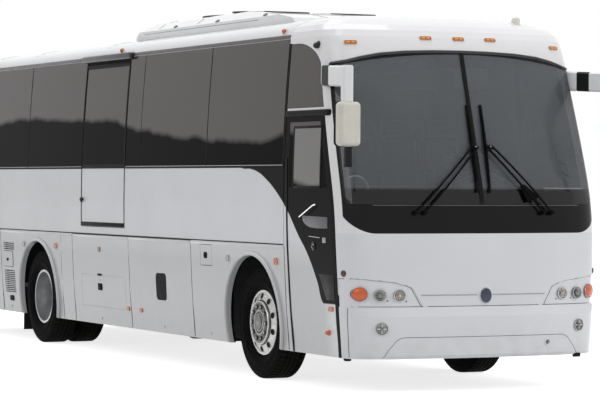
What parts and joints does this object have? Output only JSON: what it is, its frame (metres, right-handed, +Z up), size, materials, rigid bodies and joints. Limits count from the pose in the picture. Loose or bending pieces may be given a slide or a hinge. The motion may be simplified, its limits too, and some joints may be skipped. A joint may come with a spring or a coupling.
{
  "type": "two-axle coach bus",
  "caption": "High-floor touring coach with flush dark side glass, raked windscreen, front entry door, wheelchair lift door, luggage bays, roof air unit and steered front wheels.",
  "frame": {"origin": "centre of the bounding box, on the ground under the tyres", "axes": "+X forward, +Y to the vehicle's left, +Z up"},
  "size_m": [11.0054, 2.98, 3.5],
  "materials": {
    "body_white": "gloss",
    "roof_white": "gloss",
    "black_band": "gloss",
    "trim_black": "satin",
    "dark_glass": "tinted gloss",
    "clear_glass": "gloss",
    "chassis_black": "satin",
    "floor_grey": "matte",
    "seat_fabric": "woven",
    "interior_grey": "matte",
    "dash_grey": "matte",
    "tyre": "matte",
    "wheel_alloy": "polished",
    "wheel_steel": "satin",
    "axle_steel": "matte",
    "lamp_clear": "gloss",
    "lamp_amber": "gloss",
    "lamp_red": "gloss",
    "mirror_shell": "gloss"
  },
  "bodies": {
    "coach": {"roof": "roof_white", "front_cap": "body_white", "front_panel": "body_white", "front_bumper": "body_white", "side_panels_right": "body_white", "side_panels_left": "body_white", "rear_cap": "body_white", "rear_bumper": "trim_black", "glass_right": "dark_glass", "glass_left": "dark_glass", "rear_glass": "dark_glass", "window_frames": "trim_black", "windscreen": "clear_glass", "windscreen_frame": "black_band", "front_lamps": "lamp_clear", "marker_lamps": "lamp_amber", "tail_lamps": "lamp_red", "floor": "floor_grey", "chassis": "chassis_black", "seats": "seat_fabric", "parcel_racks": "interior_grey", "dashboard": "dash_grey", "steering_wheel": "trim_black", "roof_unit": "roof_white", "front_axle": "axle_steel", "rear_axle": "axle_steel", "engine": "axle_steel", "mirrors": "mirror_shell", "wipers": "trim_black"},
    "entry_door": {"entry_door": "body_white", "entry_door_glass": "dark_glass"},
    "lift_door": {"lift_door": "body_white", "lift_door_glass": "dark_glass"},
    "fuel_flap": {"fuel_flap": "body_white"},
    "engine_door": {"engine_door": "body_white"},
    "roof_hatch_front": {"roof_hatch_front": "roof_white"},
    "roof_hatch_rear": {"roof_hatch_rear": "roof_white"},
    "luggage_door_right": {"luggage_door_right": "body_white"},
    "lift_bay_door_right": {"lift_bay_door_right": "body_white"},
    "service_door_right": {"service_door_right": "body_white"},
    "luggage_door_left": {"luggage_door_left": "body_white"},
    "rear_luggage_door_left": {"rear_luggage_door_left": "body_white"},
    "service_door_left": {"service_door_left": "body_white"},
    "knuckle_right": {"knuckle_right": "axle_steel"},
    "knuckle_left": {"knuckle_left": "axle_steel"},
    "front_wheel_right": {"front_tyre_right": "tyre", "front_rim_right": "wheel_alloy"},
    "front_wheel_left": {"front_tyre_left": "tyre", "front_rim_left": "wheel_alloy"},
    "rear_wheels_right": {"rear_tyre_right": "tyre", "rear_rim_right": "wheel_steel"},
    "rear_wheels_left": {"rear_tyre_left": "tyre", "rear_rim_left": "wheel_steel"}
  },
  "joints": [
    {"name": "entry_door_hinge", "type": "hinge", "parent": "coach", "child": "entry_door", "pos_m": [4.975, -1.27, 1.3], "axis": [0, 0, 1], "range_deg": [0, 85]},
    {"name": "lift_door_hinge", "type": "hinge", "parent": "coach", "child": "lift_door", "pos_m": [0.07, -1.275, 2.1], "axis": [0, 0, 1], "range_deg": [0, 100]},
    {"name": "luggage_right_hinge", "type": "hinge", "parent": "coach", "child": "luggage_door_right", "pos_m": [0.97, -1.27, 1.236], "axis": [-1, 0, 0], "range_deg": [0, 85]},
    {"name": "lift_bay_hinge", "type": "hinge", "parent": "coach", "child": "lift_bay_door_right", "pos_m": [-0.66, -1.27, 1.236], "axis": [-1, 0, 0], "range_deg": [0, 85]},
    {"name": "luggage_left_hinge", "type": "hinge", "parent": "coach", "child": "luggage_door_left", "pos_m": [0.97, 1.27, 1.236], "axis": [1, 0, 0], "range_deg": [0, 85]},
    {"name": "rear_luggage_hinge", "type": "hinge", "parent": "coach", "child": "rear_luggage_door_left", "pos_m": [-0.66, 1.27, 1.236], "axis": [1, 0, 0], "range_deg": [0, 85]},
    {"name": "fuel_flap_hinge", "type": "hinge", "parent": "coach", "child": "fuel_flap", "pos_m": [2.1625, -1.268, 1.206], "axis": [-1, 0, 0], "range_deg": [0, 90]},
    {"name": "service_right_hinge", "type": "hinge", "parent": "coach", "child": "service_door_right", "pos_m": [-3.85, -1.27, 0.8], "axis": [0, 0, 1], "range_deg": [0, 100]},
    {"name": "service_left_hinge", "type": "hinge", "parent": "coach", "child": "service_door_left", "pos_m": [-3.85, 1.27, 0.8], "axis": [0, 0, -1], "range_deg": [0, 100]},
    {"name": "engine_door_hinge", "type": "hinge", "parent": "coach", "child": "engine_door", "pos_m": [-5.47, 0, 1.78], "axis": [0, 1, 0], "range_deg": [0, 80]},
    {"name": "hatch_front_hinge", "type": "hinge", "parent": "coach", "child": "roof_hatch_front", "pos_m": [-1.38, 0, 3.322], "axis": [0, 1, 0], "range_deg": [0, 50]},
    {"name": "hatch_rear_hinge", "type": "hinge", "parent": "coach", "child": "roof_hatch_rear", "pos_m": [-3.58, 0, 3.322], "axis": [0, 1, 0], "range_deg": [0, 50]},
    {"name": "steer_right", "type": "hinge", "parent": "coach", "child": "knuckle_right", "pos_m": [3.21, -0.905, 0.515], "axis": [0, 0, 1], "range_deg": [-40, 40]},
    {"name": "steer_left", "type": "hinge", "parent": "coach", "child": "knuckle_left", "pos_m": [3.21, 0.905, 0.515], "axis": [0, 0, 1], "range_deg": [-40, 40]},
    {"name": "front_wheel_right_spin", "type": "hinge", "parent": "knuckle_right", "child": "front_wheel_right", "pos_m": [3.21, -1.03, 0.515], "axis": [0, 1, 0], "continuous": true},
    {"name": "front_wheel_left_spin", "type": "hinge", "parent": "knuckle_left", "child": "front_wheel_left", "pos_m": [3.21, 1.03, 0.515], "axis": [0, 1, 0], "continuous": true},
    {"name": "rear_wheels_right_spin", "type": "hinge", "parent": "coach", "child": "rear_wheels_right", "pos_m": [-2.59, -1.075, 0.515], "axis": [0, 1, 0], "continuous": true},
    {"name": "rear_wheels_left_spin", "type": "hinge", "parent": "coach", "child": "rear_wheels_left", "pos_m": [-2.59, 1.075, 0.515], "axis": [0, 1, 0], "continuous": true}
  ],
  "couplings": [
    {"joint": "steer_left", "follows": "steer_right", "ratio": 1}
  ]
}
